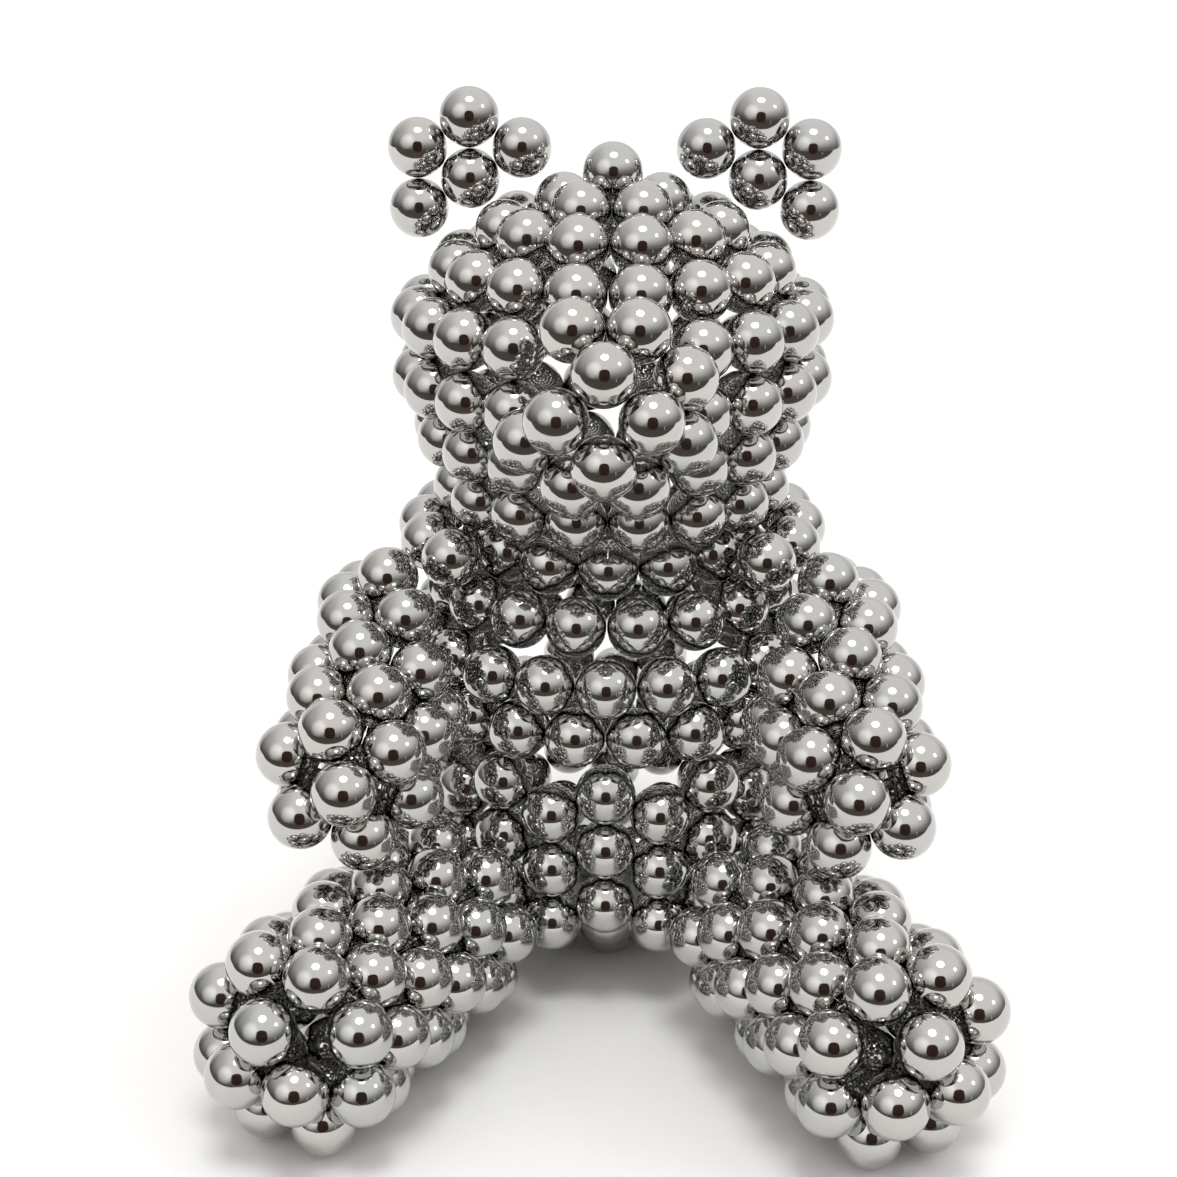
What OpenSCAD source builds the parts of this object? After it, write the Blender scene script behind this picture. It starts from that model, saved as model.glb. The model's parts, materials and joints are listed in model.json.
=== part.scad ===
// Sitting bear laid up from magnetic balls.
// Every ball is a solid of its own. Balls are laid in rings, and each ring is lowered
// until it rests on the ring before it, so the heights follow from the ball counts.
// Millimetres, +Z up. The bear faces -Y and sits on z = 0. Left and right are as seen
// from the front, so left is -X.

/* [Balls] */
// diameter of one magnetic ball
ball_d = 5; // [3:0.5:10]
// hairline between balls that rest on each other
hairline = 0.02; // [0.01:0.01:0.05]
// clearance between parts that move against each other
move_gap = 0.35; // [0.3:0.05:0.6]

/* [Head] */
// height of the muzzle axis over the chin ring, in ball diameters
muzzle_up = 2.2; // [1.8:0.1:2.6]
// ear distance from the middle, in ball diameters
ear_out = 2.4; // [2.2:0.1:2.6]
// ear distance behind the middle, in ball diameters
ear_back = 0.6; // [0:0.1:1]

/* [Arms] */
// arm swung forward from hanging straight down, degrees
arm_forward = 65; // [65:1:75]
// arm spread outward from hanging straight down, degrees
arm_spread = 20; // [16:1:28]
// highest raise of an arm from its rest, degrees
arm_raise = 25; // [10:5:25]
// shoulder height, in ball diameters
shoulder_up = 7.5; // [7.5:0.1:8]
// shoulder distance from the middle, in ball diameters
shoulder_out = 3; // [2.8:0.1:3.4]

/* [Legs] */
// leg turned outward from straight ahead, degrees
leg_splay = 24; // [20:1:35]
// swing of a leg to each side of its rest, degrees
leg_swing = 10; // [0:1:12]
// sole ahead of the middle, in ball diameters
foot_forward = 8.2; // [7.8:0.1:9]
// sole from the middle, in ball diameters
foot_out = 4.8; // [4.5:0.1:5.5]

/* [Hidden] */
$fn = 48;
pitch = ball_d + hairline;
clear = ball_d + move_gap;
chrome = [0.78, 0.78, 0.77];

// balls in each ring, from the seat up, from the chin up and from the tip of each limb
seat_counts = [9, 14];
belly_columns = 22;
belly_rows = 3;
chest_counts = [20, 20, 17, 13];
head_counts = [16, 18, 20, 20, 16, 11, 5, 1];
muzzle_counts = [4, 8];
arm_counts = [3, 6, 6, 6, 6, 6, 6, 6];
shoulder_count = 20;
leg_counts = [3, 8, 8, 8, 8, 8, 8];

// radius of a closed ring of n balls, each at chord c from the next
function ring_r(n, c) = n < 2 ? 0 : c / (2 * sin(180 / n));
// ring of n touching balls turned by t, ball 0 towards -Y
function ring(n, t) =
    [for (i = [0:n - 1]) let (a = t + 360 * i / n)
        ring_r(n, pitch) * [sin(a), -cos(a), 0]];
// ring in which every second ball stands lower by the given drop
function zigzag(n, drop) =
    [for (i = [0:n - 1]) let (a = 360 * i / n, r = ring_r(n, sqrt(pitch ^ 2 - drop ^ 2)))
        [r * sin(a), -r * cos(a), -drop * (i % 2)]];

function moved(points, v) = [for (p = points) p + v];
// all balls of a list of rings
function balls(rings) = [for (r = rings) for (p = r) p];
function turn_x(p, a) =
    [p.x, p.y * cos(a) - p.z * sin(a), p.y * sin(a) + p.z * cos(a)];
function turn_y(p, a) =
    [p.x * cos(a) + p.z * sin(a), p.y, p.z * cos(a) - p.x * sin(a)];
function turn_z(p, a) =
    [p.x * cos(a) - p.y * sin(a), p.x * sin(a) + p.y * cos(a), p.z];

// least lift that keeps points at distance d above others
function lift(points, others, d) =
    max([for (p = points) for (q = others)
        let (h = (p.x - q.x) ^ 2 + (p.y - q.y) ^ 2)
        if (h < d * d) q.z + sqrt(d * d - h) - p.z]);
// least step towards -Y that keeps points at distance d in front of others
function step_out(points, others, d) =
    max([for (p = points) for (q = others)
        let (h = (p.x - q.x) ^ 2 + (p.z - q.z) ^ 2)
        if (h < d * d) p.y - q.y + sqrt(d * d - h)]);
// distance from p to the nearest of others
function nearest(p, others) = min([for (q = others) norm(p - q)]);
// rings lowered one after another, each onto the one before
function laid(flat, k) =
    k == 0 ? [flat[0]]
    : let (below = laid(flat, k - 1))
        concat(below, [moved(flat[k], [0, 0, lift(flat[k], below[k - 1], pitch)])]);
function stack(flat) = laid(flat, len(flat) - 1);
// rings turned by half a ball each time, so that each nests in the one before
function nested(counts) =
    stack([for (k = [0:len(counts) - 1]) ring(counts[k], 180 * k / counts[k])]);

// torso: closed seat, belly laid in upright columns, chest rings drawn in to the neck
belly_drop = 0.42 * ball_d;
torso = [for (r = stack(concat(
        [for (n = seat_counts) ring(n, 0)],
        [for (k = [1:belly_rows]) zigzag(belly_columns, belly_drop)],
        [for (k = [0:len(chest_counts) - 1])
            ring(chest_counts[k], (k + 1) % 2 * 180 / chest_counts[k])])))
    moved(r, [0, 0, ball_d / 2])];

// the shoulders are the balls at each side of a ring that rests on the last chest ring
// but one, outside the neck ring
shoulder_flat = ring(shoulder_count, 0);
chest_top = torso[len(torso) - 2];
shoulder_z = lift(shoulder_flat, chest_top, pitch);
shoulder_reach = 2 * ball_d;
function yoke(side) =
    [for (p = shoulder_flat) if (side * p.x > shoulder_reach) p + [0, 0, shoulder_z]];
trunk = concat(balls(torso), yoke(-1), yoke(1));

// the head stands clear of the neck and the shoulders all the way round, so that it can turn
chin_r = ring_r(head_counts[0], pitch);
neck = torso[len(torso) - 1];
function chin_over(n, z) = z + sqrt(clear ^ 2 - (chin_r - ring_r(n, pitch)) ^ 2);
chin_z = max(chin_over(len(neck), neck[0].z), chin_over(shoulder_count, shoulder_z));
head_whole = [for (r = stack([for (n = head_counts) ring(n, 180 / n)]))
    moved(r, [0, 0, chin_z])];

// the muzzle is hollow: the head balls behind it are left out
muzzle_z = chin_z + muzzle_up * ball_d;
muzzle_hole = 1.1 * ball_d;
head = [for (r = head_whole)
    [for (p = r) if (p.y > 0 || norm([p.x, p.z - muzzle_z]) > muzzle_hole) p]];
muzzle_laid = stack([for (k = [0:1]) ring(muzzle_counts[k], k * 180 / muzzle_counts[k])]);
muzzle_flat = [for (r = muzzle_laid) [for (p = r) [p.x, p.z, muzzle_z - p.y]]];
muzzle_y = step_out(balls(muzzle_flat), balls(head), pitch);
muzzle_all = [for (r = muzzle_flat) moved(r, [0, -muzzle_y, 0])];
// the muzzle is one ball short, on its upper left
muzzle_short = 6;
muzzle = [muzzle_all[0], [for (i = [0:7]) if (i != muzzle_short) muzzle_all[1][i]]];

// each ear is a middle ball with an arch of four over it, open towards the crown
ear_heart = [[0, 0, 0]];
ear_arch = [for (i = [-1:2]) pitch * [cos(60 * i + 30), 0, sin(60 * i + 30)]];
function ear_at(points, side) =
    [for (p = points) [side * (p.x + ear_out * ball_d), p.y + ear_back * ball_d, p.z]];
ear_z = lift(ear_at(concat(ear_heart, ear_arch), 1), balls(head), clear);
function ear(points, side) = moved(ear_at(points, side), [0, 0, ear_z]);

// arms are laid up from the tip and swing about a pivot one ring beyond the last. Balls
// that would run against the trunk or the head while the arm is raised are left out.
arm_rings = nested(arm_counts);
arm_last = len(arm_rings) - 1;
arm_len = 2 * arm_rings[arm_last][0].z - arm_rings[arm_last - 1][0].z;
shoulder = ball_d * [shoulder_out, 0.2, shoulder_up];
function arm_at(p, side, raise) =
    turn_x(turn_y(turn_x(p - [0, 0, arm_len], -arm_forward), -side * arm_spread), -raise)
    + [side * shoulder.x, shoulder.y, shoulder.z];
function arm(k, side) =
    [for (p = arm_rings[k])
        if (min([for (a = [0:5:arm_raise])
            nearest(arm_at(p, side, a), concat(trunk, balls(head)))]) > clear)
        arm_at(p, side, 0)];
// the open upper arm, where each ring has only a few balls left, is one group
arm_open = 5;
function arm_top(side) = [for (k = [arm_open:arm_last]) each arm(k, side)];

// legs are laid up from the sole and lie on the table. They swing about an upright axis
// at the hip, and balls that would run against the torso are left out.
leg_rings = nested(leg_counts);
leg_len = leg_rings[len(leg_rings) - 1][0].z;
leg_up = ball_d / 2 + ring_r(leg_counts[1], pitch);
function hip(side) =
    [side * foot_out * ball_d, -foot_forward * ball_d, leg_up]
    + turn_z([0, leg_len, 0], side * leg_splay);
function leg_at(p, side, swing) =
    turn_z([p.x, p.z - leg_len, -p.y], side * leg_splay + swing) + hip(side);
function leg(k, side) =
    [for (p = leg_rings[k])
        if (min([for (a = [-leg_swing, 0, leg_swing])
            nearest(leg_at(p, side, a), trunk)]) > clear)
        leg_at(p, side, 0)];

module lay(points) {
    for (p = points)
        translate(p) sphere(d = ball_d);
}

module torso_ring_1() { color(chrome) lay(torso[0]); }
module torso_ring_2() { color(chrome) lay(torso[1]); }
module torso_ring_3() { color(chrome) lay(torso[2]); }
module torso_ring_4() { color(chrome) lay(torso[3]); }
module torso_ring_5() { color(chrome) lay(torso[4]); }
module torso_ring_6() { color(chrome) lay(torso[5]); }
module torso_ring_7() { color(chrome) lay(torso[6]); }
module torso_ring_8() { color(chrome) lay(torso[7]); }
module torso_ring_9() { color(chrome) lay(torso[8]); }
module head_ring_1() { color(chrome) lay(head[0]); }
module head_ring_2() { color(chrome) lay(head[1]); }
module head_ring_3() { color(chrome) lay(head[2]); }
module head_ring_4() { color(chrome) lay(head[3]); }
module head_ring_5() { color(chrome) lay(head[4]); }
module head_ring_6() { color(chrome) lay(head[5]); }
module head_ring_7() { color(chrome) lay(head[6]); }
module head_ring_8() { color(chrome) lay(head[7]); }
module muzzle_ring_1() { color(chrome) lay(muzzle[0]); }
module muzzle_ring_2() { color(chrome) lay(muzzle[1]); }
module torso_shoulder_left() { color(chrome) lay(yoke(-1)); }
module torso_shoulder_right() { color(chrome) lay(yoke(1)); }
module arm_left_tip() { color(chrome) lay(arm(0, -1)); }
module arm_left_ring_1() { color(chrome) lay(arm(1, -1)); }
module arm_left_ring_2() { color(chrome) lay(arm(2, -1)); }
module arm_left_ring_3() { color(chrome) lay(arm(3, -1)); }
module arm_left_ring_4() { color(chrome) lay(arm(4, -1)); }
module arm_left_top() { color(chrome) lay(arm_top(-1)); }
module arm_right_tip() { color(chrome) lay(arm(0, 1)); }
module arm_right_ring_1() { color(chrome) lay(arm(1, 1)); }
module arm_right_ring_2() { color(chrome) lay(arm(2, 1)); }
module arm_right_ring_3() { color(chrome) lay(arm(3, 1)); }
module arm_right_ring_4() { color(chrome) lay(arm(4, 1)); }
module arm_right_top() { color(chrome) lay(arm_top(1)); }
module leg_left_sole() { color(chrome) lay(leg(0, -1)); }
module leg_left_ring_1() { color(chrome) lay(leg(1, -1)); }
module leg_left_ring_2() { color(chrome) lay(leg(2, -1)); }
module leg_left_ring_3() { color(chrome) lay(leg(3, -1)); }
module leg_left_ring_4() { color(chrome) lay(leg(4, -1)); }
module leg_left_ring_5() { color(chrome) lay(leg(5, -1)); }
module leg_left_ring_6() { color(chrome) lay(leg(6, -1)); }
module leg_right_sole() { color(chrome) lay(leg(0, 1)); }
module leg_right_ring_1() { color(chrome) lay(leg(1, 1)); }
module leg_right_ring_2() { color(chrome) lay(leg(2, 1)); }
module leg_right_ring_3() { color(chrome) lay(leg(3, 1)); }
module leg_right_ring_4() { color(chrome) lay(leg(4, 1)); }
module leg_right_ring_5() { color(chrome) lay(leg(5, 1)); }
module leg_right_ring_6() { color(chrome) lay(leg(6, 1)); }
module ear_left_heart() { color(chrome) lay(ear(ear_heart, -1)); }
module ear_left_arch() { color(chrome) lay(ear(ear_arch, -1)); }
module ear_right_heart() { color(chrome) lay(ear(ear_heart, 1)); }
module ear_right_arch() { color(chrome) lay(ear(ear_arch, 1)); }

torso_ring_1();
torso_ring_2();
torso_ring_3();
torso_ring_4();
torso_ring_5();
torso_ring_6();
torso_ring_7();
torso_ring_8();
torso_ring_9();
head_ring_1();
head_ring_2();
head_ring_3();
head_ring_4();
head_ring_5();
head_ring_6();
head_ring_7();
head_ring_8();
muzzle_ring_1();
muzzle_ring_2();
torso_shoulder_left();
torso_shoulder_right();
arm_left_tip();
arm_left_ring_1();
arm_left_ring_2();
arm_left_ring_3();
arm_left_ring_4();
arm_left_top();
arm_right_tip();
arm_right_ring_1();
arm_right_ring_2();
arm_right_ring_3();
arm_right_ring_4();
arm_right_top();
leg_left_sole();
leg_left_ring_1();
leg_left_ring_2();
leg_left_ring_3();
leg_left_ring_4();
leg_left_ring_5();
leg_left_ring_6();
leg_right_sole();
leg_right_ring_1();
leg_right_ring_2();
leg_right_ring_3();
leg_right_ring_4();
leg_right_ring_5();
leg_right_ring_6();
ear_left_heart();
ear_left_arch();
ear_right_heart();
ear_right_arch();
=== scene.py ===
import json
import math

import bpy
import numpy as np
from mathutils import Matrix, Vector


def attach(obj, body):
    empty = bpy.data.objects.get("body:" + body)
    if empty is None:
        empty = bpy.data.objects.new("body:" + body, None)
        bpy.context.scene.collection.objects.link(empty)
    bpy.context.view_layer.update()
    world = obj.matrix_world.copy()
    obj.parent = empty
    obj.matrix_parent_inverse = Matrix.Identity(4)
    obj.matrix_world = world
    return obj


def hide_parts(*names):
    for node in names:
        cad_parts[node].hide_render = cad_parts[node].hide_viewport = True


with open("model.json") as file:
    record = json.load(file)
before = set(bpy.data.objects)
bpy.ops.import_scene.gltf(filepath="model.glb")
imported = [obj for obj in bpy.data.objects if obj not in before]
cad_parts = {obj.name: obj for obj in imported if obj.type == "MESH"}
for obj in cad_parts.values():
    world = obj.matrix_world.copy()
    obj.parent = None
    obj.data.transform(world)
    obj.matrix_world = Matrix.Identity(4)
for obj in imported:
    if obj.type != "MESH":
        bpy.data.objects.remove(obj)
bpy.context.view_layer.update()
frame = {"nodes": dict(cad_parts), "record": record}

MM = 0.001

# ---------------------------------------------------------------- driving sizes

BALL_CELLS = 10          # cells along one side of the cube that is blown up into a ball
CAMERA_DISTANCE = 176 * MM
CAMERA_DROP = 19.7       # degrees the camera looks down
CAMERA_TURN = -2.2       # degrees the camera stands round from the front
CAMERA_AIM = (-2.0 * MM, 0.0, 31.7 * MM)
LENS_MM = 61.2
SENSOR_MM = 36.0

rng = np.random.default_rng(11)


# ---------------------------------------------------------------- reading the frame

def ball_centres(obj):
    """Centre and radius of every ball in a CAD node: one connected shell is one ball, and
    a sphere is fitted to its points by least squares."""
    mesh = obj.data
    co = np.empty(len(mesh.vertices) * 3, np.float32)
    mesh.vertices.foreach_get("co", co)
    co = co.reshape(-1, 3).astype(float)
    edges = np.empty(len(mesh.edges) * 2, np.int32)
    mesh.edges.foreach_get("vertices", edges)
    points, same = np.unique(np.round(co / MM, 4), axis=0, return_inverse=True)
    edges = same.reshape(-1)[edges].reshape(-1, 2)
    label = np.arange(len(points))
    while True:
        low = np.minimum(label[edges[:, 0]], label[edges[:, 1]])
        fresh = label.copy()
        np.minimum.at(fresh, edges[:, 0], low)
        np.minimum.at(fresh, edges[:, 1], low)
        fresh = fresh[fresh]
        if np.array_equal(fresh, label):
            break
        label = fresh
    found = []
    for k in np.unique(label):
        p = points[label == k]
        a = np.c_[2 * p, np.ones(len(p))]
        x = np.linalg.lstsq(a, (p ** 2).sum(1), rcond=None)[0]
        found.append((x[:3] * MM, math.sqrt(x[3] + x[:3] @ x[:3]) * MM))
    return found


# ---------------------------------------------------------------- ball meshes

def unit_ball(n):
    """Vertices and quads of a cube of n by n cells a side, blown up to a unit ball."""
    index = {}
    verts = []
    quads = []
    step = np.tan(np.linspace(-math.pi / 4, math.pi / 4, n + 1))

    def corner(face, sign, i, j):
        p = np.empty(3)
        p[face] = sign
        p[(face + 1) % 3] = step[i]
        p[(face + 2) % 3] = step[j]
        key = tuple(np.round(p, 6))
        if key not in index:
            index[key] = len(verts)
            verts.append(p / np.linalg.norm(p))
        return index[key]

    for face in range(3):
        for sign in (-1, 1):
            for i in range(n):
                for j in range(n):
                    around = ((i, j), (i + 1, j), (i + 1, j + 1), (i, j + 1))
                    q = [corner(face, sign, *c) for c in around]
                    quads.append(q if sign > 0 else q[::-1])
    return np.array(verts), np.array(quads)


UNIT_VERTS, UNIT_QUADS = unit_ball(BALL_CELLS)


def any_turn():
    """A rotation matrix picked evenly over all rotations."""
    q = rng.normal(size=4)
    w, x, y, z = q / np.linalg.norm(q)
    return np.array([
        [1 - 2 * (y * y + z * z), 2 * (x * y - w * z), 2 * (x * z + w * y)],
        [2 * (x * y + w * z), 1 - 2 * (x * x + z * z), 2 * (y * z - w * x)],
        [2 * (x * z - w * y), 2 * (y * z + w * x), 1 - 2 * (x * x + y * y)]])


def balls_object(name, found, material):
    """One mesh object holding a smooth ball at every centre, with the wear of each ball
    stored as a number on its vertices."""
    verts = np.concatenate([c + r * UNIT_VERTS @ any_turn().T for c, r in found])
    quads = np.concatenate([UNIT_QUADS + k * len(UNIT_VERTS) for k in range(len(found))])
    mesh = bpy.data.meshes.new(name)
    mesh.vertices.add(len(verts))
    mesh.vertices.foreach_set("co", verts.astype(np.float32).ravel())
    mesh.loops.add(quads.size)
    mesh.loops.foreach_set("vertex_index", quads.astype(np.int32).ravel())
    mesh.polygons.add(len(quads))
    mesh.polygons.foreach_set("loop_start", np.arange(0, quads.size, 4, dtype=np.int32))
    mesh.polygons.foreach_set("use_smooth", np.ones(len(quads), bool))
    mesh.update(calc_edges=True)
    mesh.validate()
    wear = mesh.attributes.new("wear", "FLOAT", "POINT")
    wear.data.foreach_set("value", np.repeat(rng.random(len(found)), len(UNIT_VERTS)).astype(np.float32))
    mesh.materials.append(material)
    obj = bpy.data.objects.new(name, mesh)
    bpy.context.scene.collection.objects.link(obj)
    return obj


# ---------------------------------------------------------------- materials

def new_material(name):
    m = bpy.data.materials.new(name)
    m.use_nodes = True
    m.node_tree.nodes.clear()
    return m, m.node_tree.nodes, m.node_tree.links


def nickel():
    """Mirror-polished nickel plate: a little warmer or cooler from ball to ball, faint
    handling smudges, and hairlines left by balls rubbing on each other."""
    m, n, l = new_material("nickel_plate")
    out = n.new("ShaderNodeOutputMaterial")
    bsdf = n.new("ShaderNodeBsdfPrincipled")
    l.new(bsdf.outputs["BSDF"], out.inputs["Surface"])
    bsdf.inputs["Metallic"].default_value = 1.0

    place = n.new("ShaderNodeTexCoord")
    wear = n.new("ShaderNodeAttribute")
    wear.attribute_name = "wear"

    smudge = n.new("ShaderNodeTexNoise")
    smudge.inputs["Scale"].default_value = 420
    smudge.inputs["Detail"].default_value = 5
    smudge.inputs["Roughness"].default_value = 0.62
    smudge.inputs["Distortion"].default_value = 0.6
    l.new(place.outputs["Object"], smudge.inputs["Vector"])

    grain = n.new("ShaderNodeTexNoise")
    grain.inputs["Scale"].default_value = 6000
    grain.inputs["Detail"].default_value = 2
    l.new(place.outputs["Object"], grain.inputs["Vector"])

    tint = n.new("ShaderNodeMix")
    tint.data_type = "RGBA"
    tint.inputs["A"].default_value = (0.55, 0.535, 0.515, 1)
    tint.inputs["B"].default_value = (0.515, 0.515, 0.508, 1)
    l.new(wear.outputs["Fac"], tint.inputs["Factor"])
    dull = n.new("ShaderNodeMix")
    dull.data_type = "RGBA"
    dull.blend_type = "MULTIPLY"
    spots = n.new("ShaderNodeMapRange")
    spots.inputs["From Min"].default_value = 0.55
    spots.inputs["From Max"].default_value = 0.8
    spots.inputs["To Min"].default_value = 0
    spots.inputs["To Max"].default_value = 0.5
    l.new(smudge.outputs["Fac"], spots.inputs["Value"])
    l.new(spots.outputs["Result"], dull.inputs["Factor"])
    l.new(tint.outputs["Result"], dull.inputs["A"])
    dull.inputs["B"].default_value = (0.86, 0.85, 0.83, 1)
    l.new(dull.outputs["Result"], bsdf.inputs["Base Color"])

    shine = n.new("ShaderNodeMapRange")
    shine.inputs["From Min"].default_value = 0.3
    shine.inputs["From Max"].default_value = 0.8
    shine.inputs["To Min"].default_value = 0.035
    shine.inputs["To Max"].default_value = 0.1
    l.new(smudge.outputs["Fac"], shine.inputs["Value"])
    older = n.new("ShaderNodeMath")
    older.operation = "MULTIPLY_ADD"
    older.inputs[1].default_value = 0.03
    l.new(wear.outputs["Fac"], older.inputs[0])
    l.new(shine.outputs["Result"], older.inputs[2])
    l.new(older.outputs["Value"], bsdf.inputs["Roughness"])

    bump = n.new("ShaderNodeBump")
    bump.inputs["Strength"].default_value = 0.02
    bump.inputs["Distance"].default_value = 0.00002
    l.new(grain.outputs["Fac"], bump.inputs["Height"])
    l.new(bump.outputs["Normal"], bsdf.inputs["Normal"])
    return m


def paper(name, bright, dark):
    """Matt card with a faint fibre."""
    m, n, l = new_material(name)
    out = n.new("ShaderNodeOutputMaterial")
    bsdf = n.new("ShaderNodeBsdfDiffuse")
    l.new(bsdf.outputs["BSDF"], out.inputs["Surface"])
    place = n.new("ShaderNodeTexCoord")
    fibre = n.new("ShaderNodeTexNoise")
    fibre.inputs["Scale"].default_value = 900
    l.new(place.outputs["Object"], fibre.inputs["Vector"])
    mix = n.new("ShaderNodeMix")
    mix.data_type = "RGBA"
    mix.inputs["A"].default_value = (*dark, 1)
    mix.inputs["B"].default_value = (*bright, 1)
    l.new(fibre.outputs["Fac"], mix.inputs["Factor"])
    l.new(mix.outputs["Result"], bsdf.inputs["Color"])
    return m


# ---------------------------------------------------------------- the bear

plate = nickel()
for body, nodes in sorted(frame["record"]["behaviour"]["bodies"].items()):
    for node in nodes:
        obj = balls_object("balls_" + node, ball_centres(frame["nodes"][node]), plate)
        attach(obj, body)
        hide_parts(node)


# ---------------------------------------------------------------- floor and surroundings

def sheet(name, x0, x1, y0, y1, z, material):
    mesh = bpy.data.meshes.new(name)
    mesh.from_pydata([(x0, y0, z), (x1, y0, z), (x1, y1, z), (x0, y1, z)], [], [(0, 1, 2, 3)])
    mesh.materials.append(material)
    obj = bpy.data.objects.new(name, mesh)
    bpy.context.scene.collection.objects.link(obj)
    return obj


white = paper("white_card", (0.94, 0.94, 0.935), (0.91, 0.91, 0.905))
table = paper("dark_table", (0.10, 0.085, 0.075), (0.07, 0.06, 0.055))
FRONT_EDGE = -95 * MM    # where the white card ends, nearer than anything the camera sees
CARD_THICK = 2 * MM
HALF_WIDTH, BEHIND, AHEAD = 3, 6, -4
sheet("floor", -HALF_WIDTH, HALF_WIDTH, FRONT_EDGE, BEHIND, 0, white)
sheet("table", -HALF_WIDTH, HALF_WIDTH, AHEAD, FRONT_EDGE, -CARD_THICK, table)


CORNER_POINTS = 7        # points along each rounded corner of a card


def card(name, at, width, low, high, corner, material):
    """An upright matt card standing behind the camera and facing the bear."""
    c = Vector((at[0], at[1], (low + high) / 2))
    away = Vector((at[0], at[1], 0)).normalized()
    side = Vector((-away.y, away.x, 0))
    w, h = width / 2 - corner, (high - low) / 2 - corner
    rim = []
    for quarter, (sx, sz) in enumerate(((1, 1), (-1, 1), (-1, -1), (1, -1))):
        for a in np.linspace(0, math.pi / 2, CORNER_POINTS) + quarter * math.pi / 2:
            rim.append(c + side * (sx * w + corner * math.cos(a))
                       + Vector((0, 0, sz * h + corner * math.sin(a))))
    mesh = bpy.data.meshes.new(name)
    mesh.from_pydata([tuple(p) for p in rim], [], [tuple(range(len(rim)))])
    mesh.materials.append(material)
    obj = bpy.data.objects.new(name, mesh)
    bpy.context.scene.collection.objects.link(obj)
    return obj


brown = paper("brown_card", (0.085, 0.05, 0.04), (0.06, 0.036, 0.03))
card("camera_card", (0.03, -0.46), 0.30, 0.0, 0.33, 0.11, brown)
card("bright_card", (0.185, -0.215), 0.016, 0.0, 0.05, 0.004, white)


def sun(name, direction, strength, angle):
    """A soft distant lamp seen from the bear in a direction, angle degrees across."""
    data = bpy.data.lights.new(name, "SUN")
    data.energy = strength
    data.angle = math.radians(angle)
    obj = bpy.data.objects.new(name, data)
    obj.rotation_euler = (-Vector(direction)).to_track_quat("-Z", "Y").to_euler()
    bpy.context.scene.collection.objects.link(obj)
    return obj


sun("key", (0.05, -0.24, 0.97), 1.05, 22)
sun("side", (0.76, -0.22, 0.61), 0.16, 9)


def room():
    """Plain surroundings: light overhead and behind, darker in front near the horizon,
    with a pale window glow to the front left and a dim wall to the left."""
    world = bpy.data.worlds.new("room")
    world.use_nodes = True
    bpy.context.scene.world = world
    n, l = world.node_tree.nodes, world.node_tree.links
    n.clear()
    out = n.new("ShaderNodeOutputWorld")
    back = n.new("ShaderNodeBackground")
    l.new(back.outputs["Background"], out.inputs["Surface"])
    place = n.new("ShaderNodeTexCoord")

    def toward(direction, start, end, low, high):
        """A number that goes smoothly from low to high as the view turns towards direction."""
        dot = n.new("ShaderNodeVectorMath")
        dot.operation = "DOT_PRODUCT"
        dot.inputs[1].default_value = Vector(direction).normalized()
        l.new(place.outputs["Generated"], dot.inputs[0])
        step = n.new("ShaderNodeMapRange")
        step.interpolation_type = "SMOOTHSTEP"
        step.inputs["From Min"].default_value = start
        step.inputs["From Max"].default_value = end
        step.inputs["To Min"].default_value = low
        step.inputs["To Max"].default_value = high
        l.new(dot.outputs["Value"], step.inputs["Value"])
        return step.outputs["Result"]

    def combine(kind, a, b):
        node = n.new("ShaderNodeMath")
        node.operation = kind
        l.new(a, node.inputs[0])
        l.new(b, node.inputs[1])
        return node.outputs["Value"]

    height = toward((0, 0, 1), 0.0, 0.66, 0.19, 1.06)
    dim_left = toward((-1, 0.1, 0), 0.2, 0.9, 1.0, 0.55)
    wall = combine("MULTIPLY", height, dim_left)
    behind = toward((0, 1, 0.1), 0.25, 0.8, 0.0, 0.9)
    glow = toward((-0.57, -0.69, 0.45), 0.84, 0.99, 0.0, 0.5)
    level = combine("ADD", combine("MAXIMUM", wall, behind), glow)
    tone = n.new("ShaderNodeCombineColor")
    for channel, share in (("Red", 1.0), ("Green", 0.985), ("Blue", 0.975)):
        part = n.new("ShaderNodeMath")
        part.operation = "MULTIPLY"
        part.inputs[1].default_value = share
        l.new(level, part.inputs[0])
        l.new(part.outputs["Value"], tone.inputs[channel])
    l.new(tone.outputs["Color"], back.inputs["Color"])
    back.inputs["Strength"].default_value = 1.0


room()


# ---------------------------------------------------------------- camera

cam = bpy.data.cameras.new("camera")
cam.lens = LENS_MM
cam.sensor_width = SENSOR_MM
cam.clip_start = 0.01
camera = bpy.data.objects.new("camera", cam)
drop, turn = math.radians(CAMERA_DROP), math.radians(CAMERA_TURN)
ahead = Vector((math.sin(turn) * math.cos(drop), math.cos(turn) * math.cos(drop), -math.sin(drop)))
camera.location = Vector(CAMERA_AIM) - CAMERA_DISTANCE * ahead
camera.rotation_euler = ahead.to_track_quat("-Z", "Y").to_euler()
bpy.context.scene.collection.objects.link(camera)
bpy.context.scene.camera = camera

bpy.context.scene.view_settings.view_transform = "Standard"
bpy.context.scene.view_settings.look = "None"
